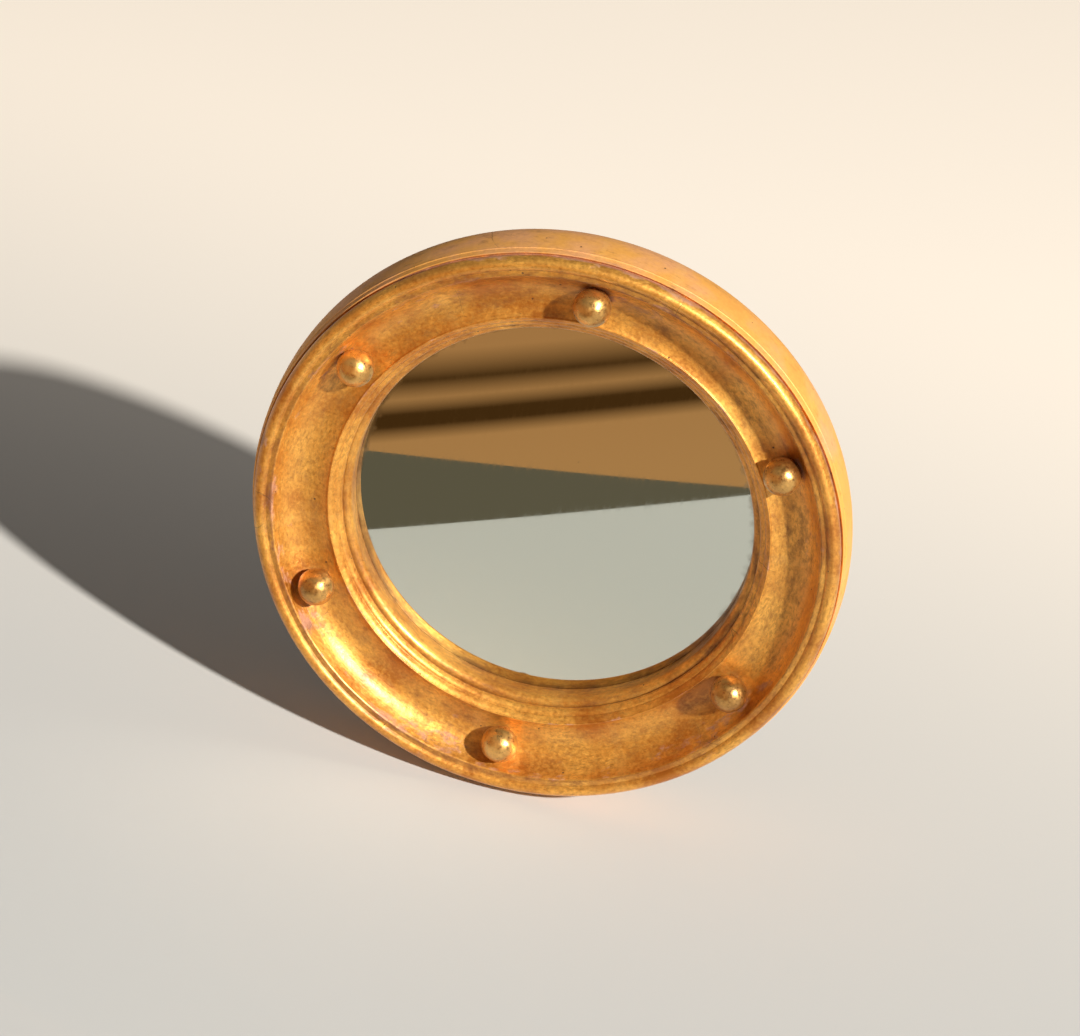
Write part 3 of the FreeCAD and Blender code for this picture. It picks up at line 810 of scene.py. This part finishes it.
def makeFrameRing():
    section = sectionMesh("ringSection", ringStops, True)
    ring = turnPiece("gildedRing", section, ringPiece, ringGilding, tonedPine)
    # the hanger's pocket, cut from the back
    half = ringPiece["pocketWidth"] / 2
    cutter = bpy.data.meshes.new("pocketCutter")
    corners = [Vector((x, y, z)) * mm for x in (-half, half)
               for y in (-ringPiece["pocketDepth"], ringPiece["pocketOver"])
               for z in (ringPiece["pocketFoot"], ringPiece["pocketTop"])]
    cutter.from_pydata(corners, [], [
        (0, 1, 3, 2), (4, 6, 7, 5), (0, 4, 5, 1), (2, 3, 7, 6), (0, 2, 6, 4), (1, 5, 7, 3)])
    cutter.materials.append(tonedPine)
    tool = newObject("pocketCutter", cutter)
    cut = ring.modifiers.new("pocket", "BOOLEAN")
    cut.object = tool
    cut.operation = "DIFFERENCE"
    cut.solver = "EXACT"
    cut.material_mode = "TRANSFER"
    ring = settle(ring, "gildedRing")
    ring.name = "gildedRing"
    bpy.data.objects.remove(tool)
    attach(ring, "mirror")
    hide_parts("frame_ring")
    return ring


gildedRing = makeFrameRing()
print("ring:", len(gildedRing.data.polygons), "faces")

# the slip between the lip and the glass

slipPiece = {
    "segments": 480, "balls": 1, "seed": 8.0, "lengths": {
        "Girth": 560.0, "Wave Height": 0.10, "Wave Length": 40.0, "Ripple Height": 0.06,
        "Ripple Length": 5.0, "Chip Depth": 0.12, "Chip Length": 3.0},
}
slipFoot = (86.7, 22.1)
slipStops = [
    # radius, depth, curve, step, wear, grime with painted shade in the joints, bare
    (92.2, 28.92, 0, 1.0, 0.0, 1.0, 0),
    (92.2, 18.8, 0, 3.0, 0.0, 1.0, 0),
    (90.3, 18.8, 0, 1.0, 0.2, 0.5, 0),
    slipFoot + (swellRadius((90.3, 18.8), slipFoot, 1.0), 0.3, 0.3, 0.2, 0),
    (86.7, 28.3, 0, 0.6, 0.35, 0.6, 0),
    (86.7, 28.96, 0, 0.4, 0.0, 0.6, 0),
    (92.2, 28.92, 0, 2.0, 0.0, 1.0, 0),
]


def makeSlip():
    section = sectionMesh("slipSection", slipStops, True)
    slip = turnPiece("gildedSlip", section, slipPiece, slipGilding, slipGilding)
    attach(slip, "mirror")
    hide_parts("sight_slip")


makeSlip()
print("slip")

# the gently convex glass

glass = {
    "edge": 91.8, "curve": 4000.0, "sight": 86.7, "sightDepth": 29.0, "thick": 2.0, "rings": 62,
    "segments": 360, "balls": 1, "seed": 0.0, "lengths": {"Girth": 570.0},
}


def makeGlass():
    centreDepth = glass["sightDepth"] + math.sqrt(glass["curve"] ** 2 - glass["sight"] ** 2)

    def depthAt(radius, curve):
        return centreDepth - math.sqrt(curve ** 2 - radius ** 2)

    back = glass["curve"] - glass["thick"]
    stops = [(0.0, depthAt(0.0, back), 0, 1.0, 0, 0, 0)]
    for k in (1, 2, 3, 4):
        radius = glass["edge"] * k / 4
        stops.append((radius, depthAt(radius, back), 0, 100.0, 0, 0, 0))
    for k in range(glass["rings"] + 1):
        radius = glass["edge"] * (1 - k / glass["rings"])
        stops.append((radius, depthAt(radius, glass["curve"]), 0, 100.0, 0, 0, 0))
    section = sectionMesh("glassSection", stops, False)
    pane = turnPiece("convexGlass", section, glass, silvering, silvering)
    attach(pane, "mirror")
    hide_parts("convex_glass")


makeGlass()
print("glass")

# the six balls in the cove

ball = {"radius": 8.0, "neck": 4.6, "foot": 5.6, "footDepth": 8.2, "rows": 24, "columns": 48}


def spunMesh(name, profile, columns):
    # a profile of (radius, place) turned about the Y axis
    work = bmesh.new()
    ring = [work.verts.new((radius * mm, place * mm, 0.0)) for radius, place in profile]
    edges = [work.edges.new(pair) for pair in zip(ring, ring[1:])]
    bmesh.ops.spin(work, geom=ring + edges, cent=(0, 0, 0), axis=(0, 1, 0),
                   angle=2 * math.pi, steps=columns)
    bmesh.ops.remove_doubles(work, verts=work.verts, dist=1e-6)
    bmesh.ops.recalc_face_normals(work, faces=work.faces)
    mesh = bpy.data.meshes.new(name)
    work.to_mesh(mesh)
    work.free()
    return mesh


def makeBalls():
    # a turned wooden ball with the stub of its dowel, sunk in the cove
    size = ball["radius"]
    meet = math.degrees(math.asin(ball["neck"] / size))
    profile = []
    for k in range(ball["rows"] + 1):
        turn = math.radians((180 - meet) * k / ball["rows"])
        profile.append((size * math.sin(turn), -size * math.cos(turn)))
    profile.append((ball["neck"] + 0.1, profile[-1][1] + 0.3))
    profile.append((ball["foot"], ball["footDepth"]))
    profile.append((0.0, ball["footDepth"] + 1.0))
    pattern = spunMesh("ballPattern", profile, ball["columns"])
    balls = grow("coveBalls", pattern, setRoundTree, {
        "Count": ballCount, "Circle": ballCircle * mm, "Place": (ballDepth - frameDepth) * mm,
        "First Turn": 0.0, "Tilt": 0.05, "Size Spread": 0.02, "Relief Height": 0.45 * mm,
        "Relief Length": 5.0 * mm, "Seed": 11, "Finish": ballGilding})
    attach(balls, "mirror")
    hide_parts(*["ball_%d" % k for k in range(1, 7)])


makeBalls()
print("balls")

# the back: blocks, board, pins and hanger

pin = {"head": 1.5, "height": 0.6, "seat": 35.5, "circle": 95.25, "shank": 0.65, "shankLength": 2.0}


def makePins():
    # cut steel pins with low domed heads, one pattern set round the board
    profile = [(0.0, pin["height"]), (0.6, pin["height"] * 0.93), (1.1, pin["height"] * 0.68),
               (pin["head"] * 0.95, pin["height"] * 0.35), (pin["head"], 0.08), (pin["head"] * 0.97, 0.0),
               (pin["shank"], 0.0), (pin["shank"], -pin["shankLength"]), (0.0, -pin["shankLength"] - 0.6)]
    pattern = spunMesh("pinPattern", profile, 20)
    pins = grow("boardPins", pattern, setRoundTree, {
        "Count": 8, "Circle": pin["circle"] * mm, "Place": (pin["seat"] - frameDepth) * mm,
        "First Turn": math.radians(22.5), "Tilt": 0.03, "Size Spread": 0.02, "Relief Height": 0.05 * mm,
        "Relief Length": 1.0 * mm, "Seed": 4, "Finish": oldSteel})
    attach(pins, "mirror")
    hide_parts("backboard_pins")


makePins()


def dress(node, material):
    mesh = nodes[node].data
    mesh.materials.clear()
    mesh.materials.append(material)


for number in range(1, 7):
    dress("glass_block_%d" % number, glueBlockPine)
dress("backboard", stainedBoard)
dress("hanger_plate", oldBrass)
dress("hanger_ring", oldBrass)
dress("hanger_screws", oldSteel)
print("back")
